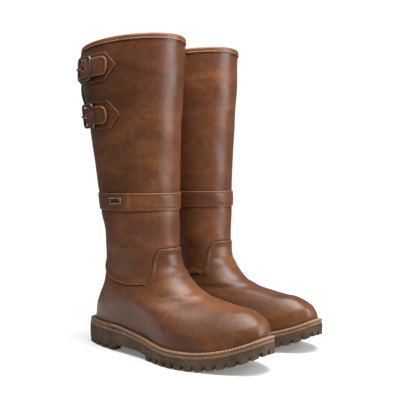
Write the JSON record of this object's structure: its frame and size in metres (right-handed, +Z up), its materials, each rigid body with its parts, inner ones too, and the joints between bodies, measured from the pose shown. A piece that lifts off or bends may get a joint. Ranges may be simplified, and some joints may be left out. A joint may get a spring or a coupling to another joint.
{
  "type": "riding boots",
  "caption": "Pair of tall brown leather pull-on riding boots with lugged rubber soles, stitched welts, an ankle band and side straps with double-frame buckles.",
  "frame": {"origin": "on the floor, under the middle of the pair's bounding box", "axes": "+Z up, toes towards -Y, the right boot at -X and the left boot at +X"},
  "size_m": [0.2606, 0.3012, 0.4029],
  "materials": {
    "brown_leather": "satin, waxed pull-up leather",
    "tan_leather": "satin",
    "lining_leather": "matte",
    "welt_leather": "matte",
    "midsole": "matte",
    "rubber": "matte",
    "board": "matte fibreboard",
    "cork": "matte cork",
    "footbed": "matte",
    "steel": "brushed",
    "elastic": "matte ribbed elastic",
    "bronze": "antique, darkened",
    "brass": "brushed"
  },
  "bodies": {
    "right_boot": {"right_outsole": "rubber", "right_heel_block": "rubber", "right_midsole": "midsole", "right_welt": "welt_leather", "right_heel_rand": "welt_leather", "right_cork_filler": "cork", "right_insole_board": "board", "right_footbed": "footbed", "right_shank": "steel", "right_foot_leather": "brown_leather", "right_heel_counter": "board", "right_toe_puff": "board", "right_shaft_leather": "brown_leather", "right_gusset": "elastic", "right_lining": "lining_leather", "right_top_binding": "tan_leather", "right_ankle_band": "brown_leather", "right_band_plate": "brass", "right_upper_chape": "brown_leather", "right_upper_strap": "brown_leather", "right_lower_chape": "brown_leather", "right_lower_strap": "brown_leather"},
    "right_upper_buckle": {"right_upper_buckle_frame": "bronze"},
    "right_upper_prong": {"right_upper_prong": "bronze"},
    "right_lower_buckle": {"right_lower_buckle_frame": "bronze"},
    "right_lower_prong": {"right_lower_prong": "bronze"},
    "left_boot": {"left_outsole": "rubber", "left_heel_block": "rubber", "left_midsole": "midsole", "left_welt": "welt_leather", "left_heel_rand": "welt_leather", "left_cork_filler": "cork", "left_insole_board": "board", "left_footbed": "footbed", "left_shank": "steel", "left_foot_leather": "brown_leather", "left_heel_counter": "board", "left_toe_puff": "board", "left_shaft_leather": "brown_leather", "left_gusset": "elastic", "left_lining": "lining_leather", "left_top_binding": "tan_leather", "left_ankle_band": "brown_leather", "left_band_plate": "brass", "left_upper_chape": "brown_leather", "left_upper_strap": "brown_leather", "left_lower_chape": "brown_leather", "left_lower_strap": "brown_leather"},
    "left_upper_buckle": {"left_upper_buckle_frame": "bronze"},
    "left_upper_prong": {"left_upper_prong": "bronze"},
    "left_lower_buckle": {"left_lower_buckle_frame": "bronze"},
    "left_lower_prong": {"left_lower_prong": "bronze"}
  },
  "joints": [
    {"name": "left_boot_apart", "type": "slide", "parent": "right_boot", "child": "left_boot", "axis": [1, 0, 0], "range_m": [0, 0.25]},
    {"name": "right_upper_buckle_rock", "type": "hinge", "parent": "right_boot", "child": "right_upper_buckle", "pos_m": [-0.12241, 0.08973, 0.3608], "axis": [0.0248, -0.0065, 0.9997], "range_deg": [-10, 3]},
    {"name": "right_upper_prong_lift", "type": "hinge", "parent": "right_upper_buckle", "child": "right_upper_prong", "pos_m": [-0.12241, 0.08973, 0.3608], "axis": [0.0248, -0.0065, 0.9997], "range_deg": [0, 70]},
    {"name": "right_lower_buckle_rock", "type": "hinge", "parent": "right_boot", "child": "right_lower_buckle", "pos_m": [-0.11523, 0.09051, 0.30229], "axis": [-0.1206, 0.0438, 0.9917], "range_deg": [-10, 3]},
    {"name": "right_lower_prong_lift", "type": "hinge", "parent": "right_lower_buckle", "child": "right_lower_prong", "pos_m": [-0.11523, 0.09051, 0.30229], "axis": [-0.1206, 0.0438, 0.9917], "range_deg": [0, 70]},
    {"name": "left_upper_buckle_rock", "type": "hinge", "parent": "left_boot", "child": "left_upper_buckle", "pos_m": [0.12241, 0.09823, 0.3608], "axis": [0.0248, 0.0065, -0.9997], "range_deg": [-10, 3]},
    {"name": "left_upper_prong_lift", "type": "hinge", "parent": "left_upper_buckle", "child": "left_upper_prong", "pos_m": [0.12241, 0.09823, 0.3608], "axis": [0.0248, 0.0065, -0.9997], "range_deg": [0, 70]},
    {"name": "left_lower_buckle_rock", "type": "hinge", "parent": "left_boot", "child": "left_lower_buckle", "pos_m": [0.11523, 0.09901, 0.30229], "axis": [-0.1206, -0.0438, -0.9917], "range_deg": [-10, 3]},
    {"name": "left_lower_prong_lift", "type": "hinge", "parent": "left_lower_buckle", "child": "left_lower_prong", "pos_m": [0.11523, 0.09901, 0.30229], "axis": [-0.1206, -0.0438, -0.9917], "range_deg": [0, 70]}
  ]
}
